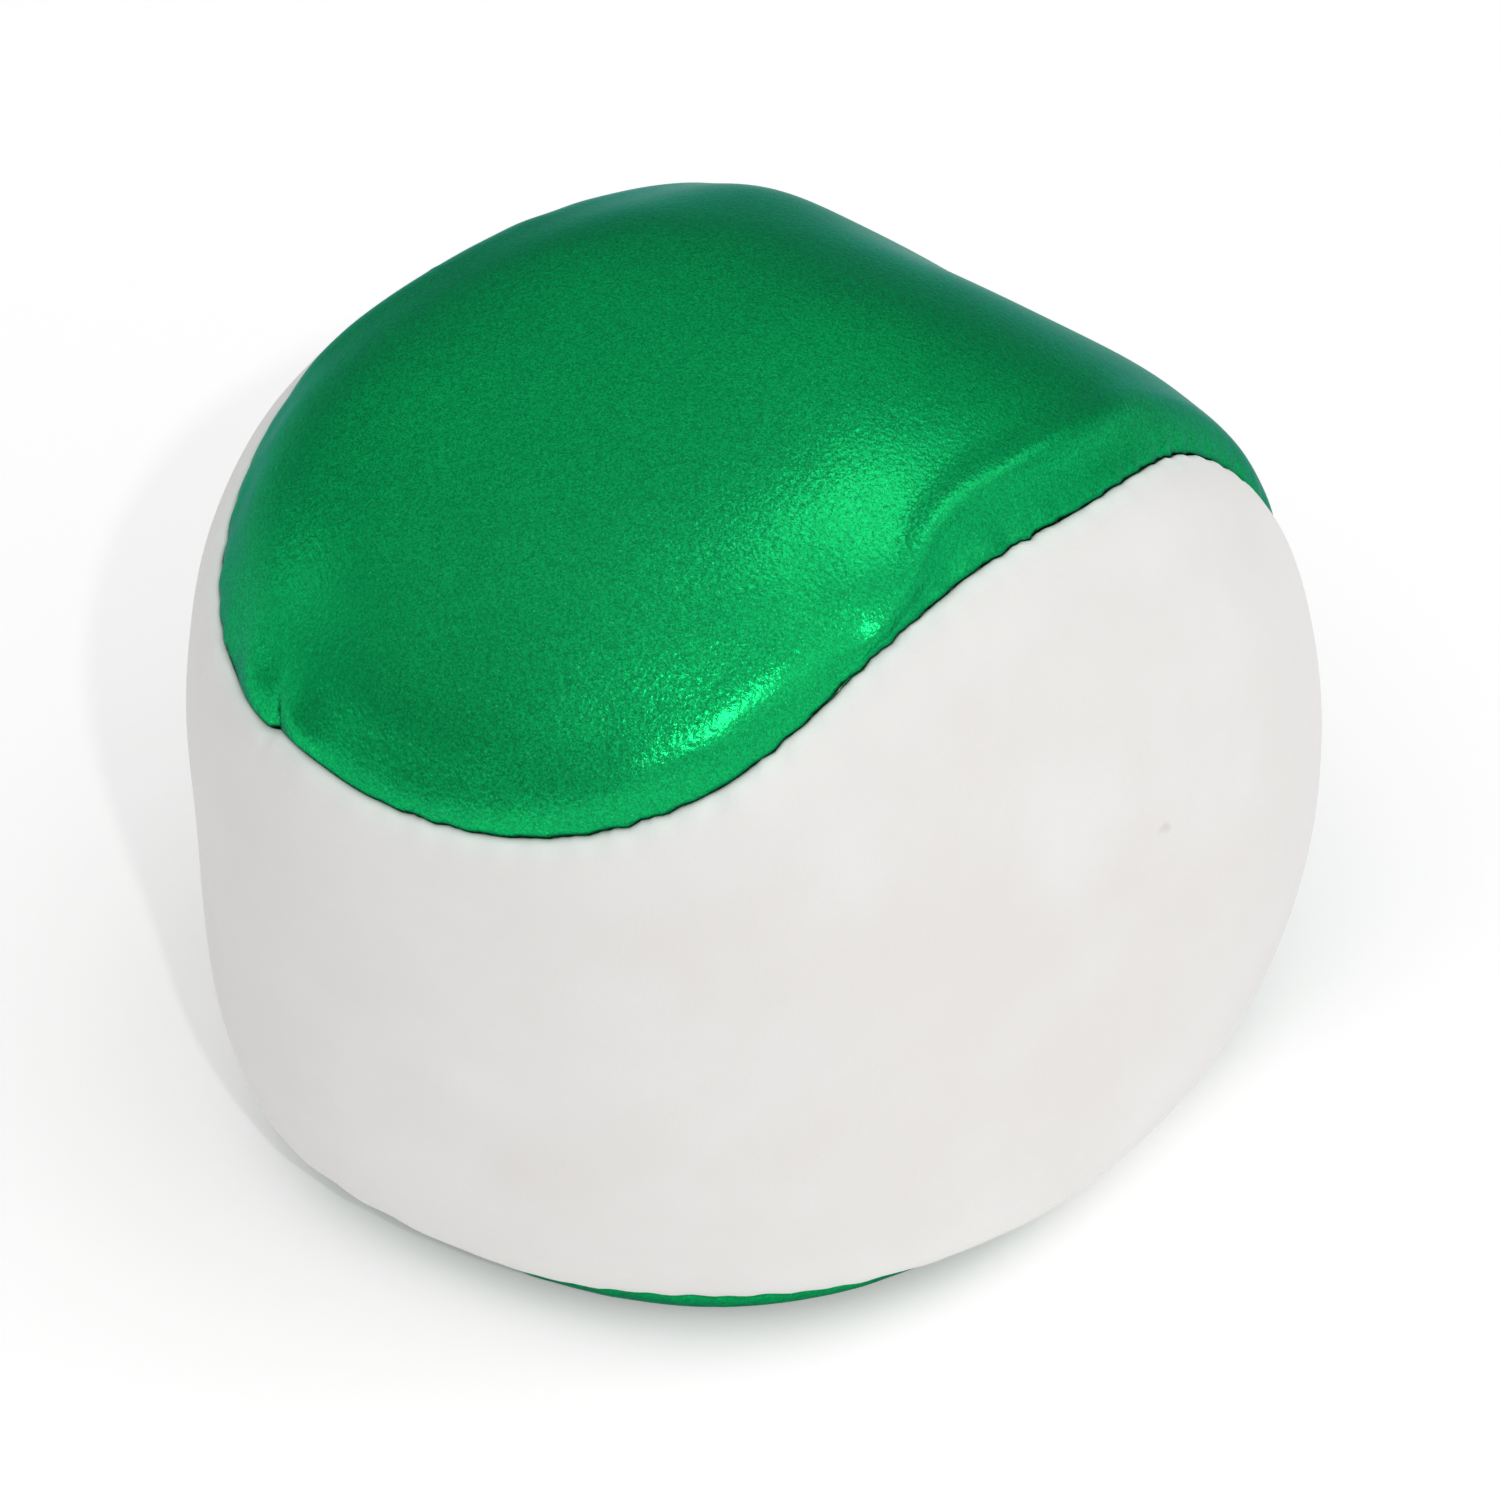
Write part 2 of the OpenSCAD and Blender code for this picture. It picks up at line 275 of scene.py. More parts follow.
def stitch_count(s):
    """Stitches passed at a length along the seam, counted from the end of the opening."""
    past = np.mod(s - opening_start - OPENING_LENGTH, SEAM_LENGTH)
    return past / machine_length * STITCHES


def in_opening(s):
    """1 in the hand-sewn opening, easing to 0 over a stitch past its ends."""
    away = np.abs(s - opening_middle) - OPENING_LENGTH / 2
    return 1 - ease(away / STITCH_LENGTH + 0.5)


def wobble(s, seed, waves):
    """A smooth random course round the closed seam, about -1 to 1, with so many waves round."""
    chance = np.random.default_rng(seed)
    turn = 2 * PI * s / SEAM_LENGTH
    total = np.zeros_like(s)
    for _ in range(7):
        total += np.sin(round(waves * chance.uniform(0.5, 1.5)) * turn + chance.uniform(0, 2 * PI))
    return total / 2.6


def held(s):
    """1 where a stitch pulls the seam tight, 0 between two stitches."""
    pulled = 0.5 + 0.5 * np.cos(2 * PI * stitch_count(s))
    return pulled ** 1.5 * (1 - in_opening(s))


def half_mouth(s):
    """From the middle of the seam's mouth to either leather."""
    return (MOUTH + (STITCH_MOUTH - MOUTH) * held(s)) / 2


def stepped(turns):
    """Rises evenly from -0.5 to 0.5 once a turn, and drops back sharply."""
    phase = np.mod(turns, 1.0)
    drop = ease((phase - 0.75) / 0.25)
    return (phase - 0.5) * (1 - drop) - 0.5 * drop


def sideways(s):
    """How far the seam steps towards the white panel: where the thread goes in and halfway to
    the next stitch, and at the tuck."""
    passed = stitch_count(s)
    step = 0.75 * stepped(passed + 0.35) + 0.45 * stepped(2 * passed + 0.2)
    uneven = 0.75 + 0.5 * wobble(s, 3, 40)
    tuck = 0.26 * MM * np.tanh((s - TUCK) / (0.5 * MM)) * np.exp(-(((s - TUCK) / (5 * MM)) ** 2))
    return 0.22 * MM * step * uneven * (1 - in_opening(s)) + tuck


def rolled(e, s):
    """How deep the leather lies below the smooth skin, at a distance from the seam."""
    wide = ROLL_WIDTH * (1 + 0.15 * wobble(s, 5, 14))
    roll = ROLL_DEPTH * np.clip(1 - e / wide, 0, 1) ** 2.2
    lip_width = LIP_WIDTH * (1 + 0.2 * held(s))
    lip = LIP_DEPTH * (1 - np.sqrt(1 - np.clip(1 - e / lip_width, 0, 1) ** 2))
    pull = 0.10 * MM * held(s) * np.exp(-((e / (1.1 * MM)) ** 2))
    return roll + lip + pull


def gathered(e, s, seed):
    """Small folds that run off the seam where it draws the leather together."""
    amount = 0.07 * MM * (0.6 + 0.4 * wobble(s, seed + 1, 9))
    reach = (2.6 + 1.2 * wobble(s, seed + 2, 17)) * MM
    return amount * wobble(s, seed, 62) * np.exp(-((e / reach) ** 2)) * ease(e / (0.4 * MM))


def uneven_fill(p, seed, size, height):
    """Gentle lumps where the granules press against the cover."""
    chance = np.random.default_rng(seed)
    total = np.zeros(p.shape[:-1])
    for _ in range(12):
        way = unit(chance.normal(size=3)) * chance.uniform(0.7, 1.4)
        total += np.sin(p @ way * (2 * PI / size) + chance.uniform(0, 2 * PI))
    return total / 3.5 * height


def tucked(e, s, green):
    """The crease at the hand-sewn opening, where the green leather is caught in the seam."""
    across = (s - TUCK) / MM - (0.25 * e / MM if green else 0.0)
    crease = np.exp(-((across / 0.35) ** 2)) * np.exp(-((e / (1.6 * MM)) ** 2))
    puff = np.exp(-(((across + 2.2) / 1.6) ** 2)) + np.exp(-(((across - 2.6) / 1.9) ** 2))
    swell = puff * np.exp(-(((e - 1.6 * MM) / (1.8 * MM)) ** 2))
    return (0.75 * crease - 0.35 * swell) * MM * (1.0 if green else 0.35)


def slack_fold(e, s):
    """A fold of slack green leather: its crest leaves the seam at a slant and then runs beside
    it towards the right cheek, with a valley between the crest and the seam. In mm."""
    run = (length_at(SLACK_PLACE) - s) / SLACK_RUN
    crest = 0.7 + 3.4 * ease(run / 1.6)
    amount = ease(run * 2 + 0.5) * (1 - ease((run - 2.5) / 2.0))
    ridge = 0.45 * np.exp(-(((e / MM - crest) / 1.1) ** 2))
    valley = 0.26 * np.exp(-(((e / MM - 0.42 * crest) / (0.35 * crest)) ** 2))
    before = 0.22 * np.exp(-(((run + 0.25) / 0.3) ** 2)) * np.exp(-((e / MM / 4.5) ** 2))
    return amount * (ridge - valley) - before


def beside_seam(e, s, green):
    """The soft bolster that stands up beside the seam, broken by the folds."""
    swell = 0.12 * np.exp(-(((e / MM - 3.0) / 2.0) ** 2))
    if green:
        falls = ease((s - length_at(FALL_START)) / FALL_FADE)
        falls *= ease((length_at(FALL_END) - s) / FALL_FADE)
        swell = swell * (2.2 - 4.2 * falls)
        swell = swell + slack_fold(e, s)
        for place, depth, width, reach, leans in SEAM_FOLDS:
            across = (s - length_at(place) - leans * e) / MM / width
            swell = swell - depth * np.exp(-(across ** 2)) * np.exp(-((e / MM / reach) ** 2))
    return swell * MM


# ---- the panels -----------------------------------------------------------------------------
def spaced(x):
    """Squares get narrower towards the seam, where the stitches are."""
    return 1 - (1 - x) * (0.3 + 0.7 * (1 - x))


def panel_grid(n, trim=0.0):
    """A panel's grid on the flat, and the seam point that each grid point looks to. Each
    half-round end is rings of squares. trim cuts that share of the half width off all round."""
    x = np.broadcast_to(2 * np.arange(n + 1) / n - 1, (3 * n + 1, n + 1))
    r = np.arange(3 * n + 1)[:, None]
    y = np.broadcast_to(np.where(r < 1.5 * n, n / 2 - r, r - 2.5 * n) / (n / 2), x.shape)
    in_end = y > 0
    top = np.broadcast_to(r < 1.5 * n, x.shape)
    ring = spaced(np.maximum(np.abs(x), np.maximum(y, 0))) * (1 - trim)
    safe_x, safe_y = np.where(x == 0, 1e-9, x), np.where(in_end, y, 1.0)
    angle = np.where(np.abs(x) < y, PI / 2 - PI / 4 * x / safe_y,
                     np.where(x > 0, PI / 4 * y / safe_x, PI + PI / 4 * y / safe_x))
    side = np.where(x < 0, -1.0, 1.0)
    straight = np.broadcast_to((r - n / 2) * PI / 2 / n, x.shape)
    over = np.where(top, -1.0, 1.0)
    end = np.where(top, 0.0, PI)
    a = np.where(in_end, ring * np.cos(angle), side * ring)
    b = np.where(in_end, end + over * ring * np.sin(angle), straight)
    rim_a = np.where(in_end, np.cos(angle), side)
    rim_b = np.where(in_end, end + over * np.sin(angle), straight)
    return folded(a, b), folded(rim_a, rim_b), ring


def seam_frame(p):
    """At seam points of the pattern: skin point, way out, and the way aside to the white."""
    u = seam_degrees(p)
    d = unit(p)
    along = skin(unit(seam_place(u + 0.2))) - skin(unit(seam_place(u - 0.2)))
    out = outward(d)
    return skin(d), out, unit(np.cross(out, along))


def lay(white, n, trim, depth):
    """A layer of a panel as a grid of points, and their distances to the seam."""
    p, rim, ring = panel_grid(n, trim)
    if white:
        p, rim = turned(p), turned(rim)
    d = unit(p)
    at, out = skin(d), outward(d)
    rim_at, rim_out, aside = seam_frame(rim)
    s = length_along(rim)
    e = np.linalg.norm(at - rim_at, axis=-1)
    mine = 1.0 if white else -1.0
    fade = np.exp(-((e / (1.3 * MM)) ** 2))
    mouth = half_mouth(s)
    raised = gathered(e, s, 21 if white else 11) + uneven_fill(at, 31, 0.034, 0.16 * MM)
    raised += uneven_fill(at, 32, 0.012, 0.04 * MM) + beside_seam(e, s, not white)
    raised -= tucked(e, s, not white) + rolled(e, s)
    clear_of_base = ease(at[..., 2] / (3 * MM))
    raised = np.where(raised > 0, raised * clear_of_base, raised)
    shift = (sideways(s) + mine * mouth) * fade
    moved = at + out * (raised - depth)[..., None] + aside * shift[..., None]
    moved[..., 2] = np.maximum(moved[..., 2], depth)
    return moved, e


def round_rim(n):
    """Row and column of each rim point, once round the panel."""
    last = 3 * n
    return ([(r, 0) for r in range(last)] + [(last, c) for c in range(n)]
            + [(r, n) for r in range(last, 0, -1)] + [(0, c) for c in range(n, 0, -1)])


def put_in_scene(thing):
    bpy.context.scene.collection.objects.link(thing)
    return thing


def new_piece(name, points, faces):
    """A smooth-shaded piece with its faces turned outwards."""
    mesh = bpy.data.meshes.new(name)
    mesh.from_pydata([tuple(p) for p in points], [], faces)
    mesh.validate()
    mesh.update()
    shape = bmesh.new()
    shape.from_mesh(mesh)
    bmesh.ops.recalc_face_normals(shape, faces=shape.faces)
    shape.to_mesh(mesh)
    shape.free()
    mesh.polygons.foreach_set("use_smooth", [True] * len(mesh.polygons))
    return put_in_scene(bpy.data.objects.new(name, mesh))


def sheet_faces(n, start, flip):
    wide = n + 1
    faces = []
    for r in range(3 * n):
        for c in range(n):
            q = [start + r * wide + c, start + r * wide + c + 1,
                 start + (r + 1) * wide + c + 1, start + (r + 1) * wide + c]
            faces.append(q[::-1] if flip else q)
    return faces


def band_faces(upper, lower):
    count = len(upper)
    return [[upper[k], lower[k], lower[(k + 1) % count], upper[(k + 1) % count]]
            for k in range(count)]


def keep_value(piece, name, values):
    """Stores a number at each point of a piece, for its material."""
    stored = piece.data.attributes.new(name, "FLOAT", "POINT")
    stored.data.foreach_set("value", np.asarray(values, np.float32))


def build_face(name, white):
    """Coated leather with its edge turned in all round and the seam allowance inside."""
    n = ACROSS
    outer, e = lay(white, n, 0.0, 0.0)
    trim = (SEAM_GAP / 2 + FACE_THICKNESS) / HALF_SIZE[0]
    inner, inner_e = lay(white, n, trim, FACE_THICKNESS)
    rows = round_rim(n)
    index = np.array([r * (n + 1) + c for r, c in rows])
    _, rim, _ = panel_grid(n)
    rim = (turned(rim) if white else rim).reshape(-1, 3)[index]
    at, out, aside = seam_frame(rim)
    length = length_along(rim)
    mine = 1.0 if white else -1.0
    mouth = half_mouth(length)
    at_seam = np.zeros(len(index))
    groove = rolled(at_seam, length) + tucked(at_seam, length, not white)
    depths = np.array([0.12, 0.3, 0.55, 0.9, 1.5, 2.3, SEAM_ALLOWANCE / MM]) * MM

    def wall(down, spare):
        apart = mouth + (SEAM_GAP / 2 - mouth) * ease(down / (0.6 * MM)) + spare
        shift = sideways(length) + mine * apart
        return at + aside * shift[:, None] - out * (groove + down)[:, None]

    rings = [wall(down, 0.0) for down in depths]
    rings += [wall(down, FACE_THICKNESS) for down in depths[:1:-1]]
    size = (n + 1) * (3 * n + 1)
    points = np.concatenate([outer.reshape(-1, 3), inner.reshape(-1, 3), *rings])
    points[:, 2] = np.maximum(points[:, 2], 0)
    loops = [index]
    loops += [2 * size + k * len(index) + np.arange(len(index)) for k in range(len(rings))]
    loops.append(size + index)
    faces = sheet_faces(n, 0, False) + sheet_faces(n, size, True)
    for upper, lower in zip(loops, loops[1:]):
        faces += band_faces([int(k) for k in upper], [int(k) for k in lower])
    piece = new_piece(name, points, faces)
    deep = np.concatenate([np.full(len(index), -down) for down in [*depths, *depths[:1:-1]]])
    keep_value(piece, "seam_distance", np.concatenate([e.ravel(), inner_e.ravel(), deep]) / MM)
    return piece


def build_backing(name, white):
    """Knitted backing inside the leather, trimmed short of the turned-in edge."""
    n = BACKING_ACROSS
    trim = (SEAM_GAP / 2 + FACE_THICKNESS + 0.6 * MM) / HALF_SIZE[0]
    depth = FACE_THICKNESS + BOND_GAP
    outer, _ = lay(white, n, trim, depth)
    inner, _ = lay(white, n, trim, depth + BACKING_THICKNESS)
    size = (n + 1) * (3 * n + 1)
    index = [r * (n + 1) + c for r, c in round_rim(n)]
    faces = sheet_faces(n, 0, False) + sheet_faces(n, size, True)
    faces += band_faces(index, [size + k for k in index])
    return new_piece(name, np.concatenate([outer.reshape(-1, 3), inner.reshape(-1, 3)]), faces)


# ---- node trees ----------------------------------------------------------------------------
def plug(tree, socket, value):
    """Links another node's output to a socket, or sets the socket to a constant."""
    if isinstance(value, bpy.types.NodeSocket):
        tree.links.new(value, socket)
    else:
        socket.default_value = value


def add(tree, kind, inputs=(), **settings):
    """Adds a node. inputs pairs a socket's name or place with a value or another node's output."""
    made = tree.nodes.new(kind)
    for key, value in settings.items():
        setattr(made, key, value)
    for key, value in dict(inputs).items():
        plug(tree, made.inputs[key], value)
    return made


def made_by(tree, kind, inputs=(), **settings):
    """Adds a node and gives its first output."""
    return add(tree, kind, inputs, **settings).outputs[0]


def maths(tree, operation, *values):
    return made_by(tree, "ShaderNodeMath", enumerate(values), operation=operation)


def vectors(tree, operation, *values):
    made = add(tree, "ShaderNodeVectorMath", operation=operation)
    for k, value in enumerate(values):
        factor = operation == "SCALE" and k == 1
        plug(tree, made.inputs["Scale" if factor else k], value)
    return made.outputs[0]


def mixed(tree, share, a, b):
    """A colour between a and b."""
    return add(tree, "ShaderNodeMix", {"Factor": share, 6: a, 7: b}, data_type="RGBA").outputs[2]


def ranged(tree, value, low, high, to_low=0.0, to_high=1.0):
    """A value from low to high, taken to the range from to_low to to_high."""
    return made_by(tree, "ShaderNodeMapRange", {
        "Value": value, "From Min": low, "From Max": high, "To Min": to_low, "To Max": to_high})


def own_place(tree):
    """A point's place in the piece's own frame."""
    return add(tree, "ShaderNodeTexCoord").outputs["Object"]


def noise(tree, scale, detail):
    return made_by(tree, "ShaderNodeTexNoise", {
        "Vector": own_place(tree), "Scale": scale, "Detail": detail})


def bumped(tree, height, strength, distance):
    return made_by(tree, "ShaderNodeBump", {
        "Height": height, "Strength": strength, "Distance": distance})


def group(name, inputs, outputs):
    """A shader node group with named inputs and outputs: (name, kind, default)."""
    tree = bpy.data.node_groups.new(name, "ShaderNodeTree")
    for label, kind, default in inputs:
        socket = tree.interface.new_socket(label, in_out="INPUT", socket_type=kind)
        socket.default_value = default
    for label, kind in outputs:
        tree.interface.new_socket(label, in_out="OUTPUT", socket_type=kind)
    return tree, tree.nodes.new("NodeGroupInput"), tree.nodes.new("NodeGroupOutput")


def leather_grain():
    """Height of the fine pebble grain embossed in coated leather."""
    tree, given, result = group(
        "leather grain",
        [("Grain size", "NodeSocketFloat", 0.4 * MM), ("Unevenness", "NodeSocketFloat", 0.5)],
        [("Height", "NodeSocketFloat"), ("Cloudy", "NodeSocketFloat")])
    scale = maths(tree, "DIVIDE", 1.0, given.outputs["Grain size"])
    pebbles = add(tree, "ShaderNodeTexVoronoi", {"Vector": own_place(tree), "Scale": scale},
                  feature="SMOOTH_F1")
    pebbles.inputs["Randomness"].default_value = 1.0
    pebbles.inputs["Smoothness"].default_value = 0.6
    fine = noise(tree, maths(tree, "MULTIPLY", scale, 1.7), 3.0)
    cloudy = noise(tree, 90.0, 3.0)
    dips = maths(tree, "MULTIPLY", pebbles.outputs["Distance"], 0.8)
    uneven = maths(tree, "MULTIPLY", given.outputs["Unevenness"], cloudy)
    uneven = maths(tree, "ADD", uneven, 0.6)
    height = maths(tree, "MULTIPLY", maths(tree, "SUBTRACT", fine, dips), uneven)
    tree.links.new(height, result.inputs["Height"])
    tree.links.new(cloudy, result.inputs["Cloudy"])
    return tree


def painted_light_and_shade_mask():
    """1 in the mouth of the seam, fading out over the given width: the mask for the painted shade, painted
    light and painted green reflection beside the seam.
    """
    tree, given, result = group(
        "painted light and shade mask", [("Width", "NodeSocketFloat", 1.0)], [("Mask", "NodeSocketFloat")])
    away = add(tree, "ShaderNodeAttribute", attribute_name="seam_distance").outputs["Fac"]
    mask = maths(tree, "SUBTRACT", 1.0, maths(tree, "DIVIDE", away, given.outputs["Width"]))
    clamped = made_by(tree, "ShaderNodeClamp", {"Value": mask})
    tree.links.new(maths(tree, "POWER", clamped, 1.5), result.inputs["Mask"])
    return tree


def new_material(name):
    made = bpy.data.materials.new(name)
    made.use_nodes = True
    return made, made.node_tree, made.node_tree.nodes["Principled BSDF"]


def use(tree, made_group, **inputs):
    node = tree.nodes.new("ShaderNodeGroup")
    node.node_tree = made_group
    for key, value in inputs.items():
        node.inputs[key.replace("_", " ")].default_value = value
    return node


GRAIN = leather_grain()
PAINTED_LIGHT_AND_SHADE_MASK = painted_light_and_shade_mask()


def green_leather():
    """Metallic pearl green: fine mica flakes in a clear coat."""
    made, tree, look = new_material("pearl green leather")
    grain = use(tree, GRAIN, Grain_size=0.34 * MM, Unevenness=0.5)
    shade = use(tree, PAINTED_LIGHT_AND_SHADE_MASK, Width=0.4)
    flakes = add(tree, "ShaderNodeTexVoronoi", {"Vector": own_place(tree), "Scale": 1 / FLAKE})
    bright = add(tree, "ShaderNodeSeparateColor", {"Color": flakes.outputs["Color"]})
    sparkle = ranged(tree, bright.outputs[1], 0.975, 1.0, 0.0, 0.5)
    colour = mixed(tree, bright.outputs[0], (0.003, 0.28, 0.080, 1), (0.004, 0.53, 0.135, 1))
    colour = mixed(tree, sparkle, colour, (0.06, 0.75, 0.25, 1))
    cloudy = ranged(tree, grain.outputs["Cloudy"], 0.3, 0.7, 0.0, 0.3)
    colour = mixed(tree, cloudy, colour, (0.000, 0.22, 0.078, 1))
    # Painted shade: dark green in the mouth of the seam, fading out within 0.4 mm of it.
    colour = mixed(tree, shade.outputs[0], colour, (0.001, 0.11, 0.045, 1))
    # Light that bounces off the leather is kept near grey, so that it doesn't tint the floor.
    bounce = add(tree, "ShaderNodeLightPath").outputs["Is Diffuse Ray"]
    colour = mixed(tree, maths(tree, "MULTIPLY", bounce, 0.8), colour, (0.16, 0.17, 0.165, 1))
    tree.links.new(colour, look.inputs["Base Color"])
    look.inputs["Metallic"].default_value = 1.0
    look.inputs["Specular Tint"].default_value = (0.08, 0.42, 0.52, 1)
    roughness = ranged(tree, grain.outputs["Cloudy"], 0.3, 0.7, 0.27, 0.33)
    tree.links.new(roughness, look.inputs["Roughness"])
    look.inputs["Coat Weight"].default_value = 0.06
    look.inputs["Coat Roughness"].default_value = 0.22
    bump = bumped(tree, grain.outputs["Height"], 0.5, 0.06 * MM)
    tilt = vectors(tree, "SUBTRACT", flakes.outputs["Color"], (0.5, 0.5, 0.5))
    tilted = vectors(tree, "ADD", bump, vectors(tree, "SCALE", tilt, 0.11))
    tree.links.new(vectors(tree, "NORMALIZE", tilted), look.inputs["Normal"])
    tree.links.new(bump, look.inputs["Coat Normal"])
    return made


def white_leather():
    """Off-white satin coat with a faint grain and a little dirt, and beside the seam a painted light band,
    a painted green reflection and a painted shade in its mouth.
    """
    made, tree, look = new_material("satin white leather")
    grain = use(tree, GRAIN, Grain_size=0.42 * MM, Unevenness=0.6)
    shade = use(tree, PAINTED_LIGHT_AND_SHADE_MASK, Width=0.35)
    painted_light_band = use(tree, PAINTED_LIGHT_AND_SHADE_MASK, Width=6.0)
    near = use(tree, PAINTED_LIGHT_AND_SHADE_MASK, Width=1.6)
    cloudy = ranged(tree, grain.outputs["Cloudy"], 0.35, 0.65)
    painted_light_band = maths(tree, "MULTIPLY", painted_light_band.outputs[0], 0.5)
    near = maths(tree, "MULTIPLY", near.outputs[0], 0.7)
    specks = ranged(tree, noise(tree, 260.0, 2.0), 0.76, 0.80, 0.0, 0.45)
    colour = mixed(tree, cloudy, (0.72, 0.70, 0.685, 1), (0.76, 0.745, 0.73, 1))
    # Painted light: a lighter, faintly green band fading out within 6 mm of the seam.
    colour = mixed(tree, painted_light_band, colour, (0.80, 0.82, 0.80, 1))
    # Painted reflection: a mint tint within 1.6 mm of the seam, standing in for green light reflected from
    # the green leather.
    colour = mixed(tree, near, colour, (0.74, 0.85, 0.79, 1))
    colour = mixed(tree, specks, colour, (0.42, 0.38, 0.34, 1))
    # Painted shade: a dull greenish grey in the mouth of the seam, fading out within 0.35 mm of it.
    colour = mixed(tree, shade.outputs[0], colour, (0.55, 0.66, 0.58, 1))
    tree.links.new(colour, look.inputs["Base Color"])
    roughness = ranged(tree, grain.outputs["Cloudy"], 0.3, 0.7, 0.42, 0.52)
    tree.links.new(roughness, look.inputs["Roughness"])
    look.inputs["Specular IOR Level"].default_value = 0.4
    bump = bumped(tree, grain.outputs["Height"], 0.3, 0.05 * MM)
    tree.links.new(bump, look.inputs["Normal"])
    return made


def knit_backing(name, pale, deep):
    """Knitted cloth: rows of small loops."""
    made, tree, look = new_material(name)

    def bands(direction, scale, distortion):
        return add(tree, "ShaderNodeTexWave", {
            "Vector": own_place(tree), "Scale": scale, "Distortion": distortion, "Detail": 1.0,
        }, bands_direction=direction).outputs["Fac"]

    loops = maths(tree, "MULTIPLY", bands("X", 330.0, 1.5), bands("Z", 420.0, 2.0))
    fuzz = maths(tree, "MULTIPLY", noise(tree, 2500.0, 4.0), 0.4)
    height = maths(tree, "ADD", loops, fuzz)
    # The colour follows the height of the loops, darker in the low parts between them: painted shade, with
    # random tone from the fuzz.
    tree.links.new(mixed(tree, height, deep, pale), look.inputs["Base Color"])
    look.inputs["Roughness"].default_value = 0.92
    look.inputs["Sheen Weight"].default_value = 0.3
    tree.links.new(bumped(tree, height, 0.6, 0.2 * MM), look.inputs["Normal"])
    return made


def sewing_thread(name, pale, deep):
    """Twisted thread with fine fibres."""
    made, tree, look = new_material(name)
    fibres = noise(tree, 9000.0, 3.0)
    tree.links.new(mixed(tree, fibres, deep, pale), look.inputs["Base Color"])
    look.inputs["Roughness"].default_value = 0.55
    look.inputs["Sheen Weight"].default_value = 0.2
    tree.links.new(bumped(tree, fibres, 0.5, 0.03 * MM), look.inputs["Normal"])
    return made


def plastic_granules():
    """Milky plastic pellets, each a little different."""
    made, tree, look = new_material("milky plastic granules")
    each = add(tree, "ShaderNodeTexVoronoi", {"Vector": own_place(tree), "Scale": 1 / GRANULE})
    tint = add(tree, "ShaderNodeSeparateColor", {"Color": each.outputs["Color"]})
    colour = mixed(tree, tint.outputs[0], (0.78, 0.74, 0.60, 1), (0.90, 0.88, 0.80, 1))
    tree.links.new(colour, look.inputs["Base Color"])
    scuffs = noise(tree, 1500.0, 2.0)
    tree.links.new(ranged(tree, scuffs, 0.3, 0.7, 0.25, 0.45), look.inputs["Roughness"])
    look.inputs["Subsurface Weight"].default_value = 0.25
    look.inputs["Subsurface Radius"].default_value = (0.001, 0.001, 0.0008)
    tree.links.new(bumped(tree, scuffs, 0.2, 0.05 * MM), look.inputs["Normal"])
    return made


# ---- geometry trees ------------------------------------------------------------------------
def geometry_tree(name, inputs):
    tree = bpy.data.node_groups.new(name, "GeometryNodeTree")
    tree.interface.new_socket("Geometry", in_out="INPUT", socket_type="NodeSocketGeometry")
    for label, kind, default in inputs:
        socket = tree.interface.new_socket(label, in_out="INPUT", socket_type=kind)
        if default is not None:
            socket.default_value = default
    tree.interface.new_socket("Geometry", in_out="OUTPUT", socket_type="NodeSocketGeometry")
    return tree, tree.nodes.new("NodeGroupInput"), tree.nodes.new("NodeGroupOutput")


def grown(name, seed_mesh, tree, material, **values):
    """Runs a geometry tree on a mesh and keeps the result as a plain piece."""
    start = put_in_scene(bpy.data.objects.new(name + "_start", seed_mesh))
    modifier = start.modifiers.new("build", "NODES")
    modifier.node_group = tree
    sockets = {s.name: s.identifier for s in tree.interface.items_tree if s.in_out == "INPUT"}
    modifier[sockets["Material"]] = material
    for key, value in values.items():
        modifier[sockets[key.replace("_", " ")]] = value
    whole = bpy.context.evaluated_depsgraph_get()
    mesh = bpy.data.meshes.new_from_object(start.evaluated_get(whole))
    mesh.name = name
    start.modifiers.remove(modifier)
    bpy.data.objects.remove(start)
    return put_in_scene(bpy.data.objects.new(name, mesh))


